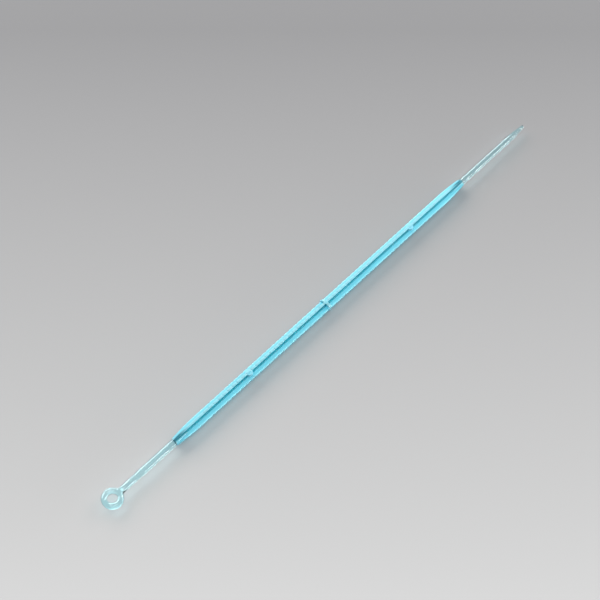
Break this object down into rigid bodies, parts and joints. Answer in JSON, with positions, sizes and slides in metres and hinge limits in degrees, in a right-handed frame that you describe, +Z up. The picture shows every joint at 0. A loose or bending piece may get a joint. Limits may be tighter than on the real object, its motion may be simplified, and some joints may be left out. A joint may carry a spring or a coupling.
{
  "type": "inoculating loop",
  "caption": "Slender moulded plastic inoculating loop: a small closed ring on a round shank, a serrated plus-shaped grip and a plain needle end.",
  "frame": {"origin": "middle of the bounding box at its base, where the bottom fin rests", "axes": "+X along the tool from the ring to the needle, +Z up through the ring's hole"},
  "size_m": [0.2, 0.007, 0.0039],
  "materials": {
    "polished_polystyrene": "clear pale blue, polished",
    "grip_polystyrene": "clear blue, moulded, edges serrated"
  },
  "bodies": {
    "root": {"loop_ring": "polished_polystyrene", "ring_neck": "polished_polystyrene", "front_shank": "polished_polystyrene", "shank_step": "polished_polystyrene", "rear_shank": "polished_polystyrene", "grip_core": "grip_polystyrene", "grip_fin_top": "grip_polystyrene", "grip_fin_bottom": "grip_polystyrene", "grip_fin_left": "grip_polystyrene", "grip_fin_right": "grip_polystyrene", "gate_web": "grip_polystyrene", "gate_vestige": "grip_polystyrene", "ejector_pad_front": "grip_polystyrene", "ejector_pad_rear": "grip_polystyrene", "needle_shank": "polished_polystyrene", "needle_tip": "polished_polystyrene"}
  },
  "joints": []
}
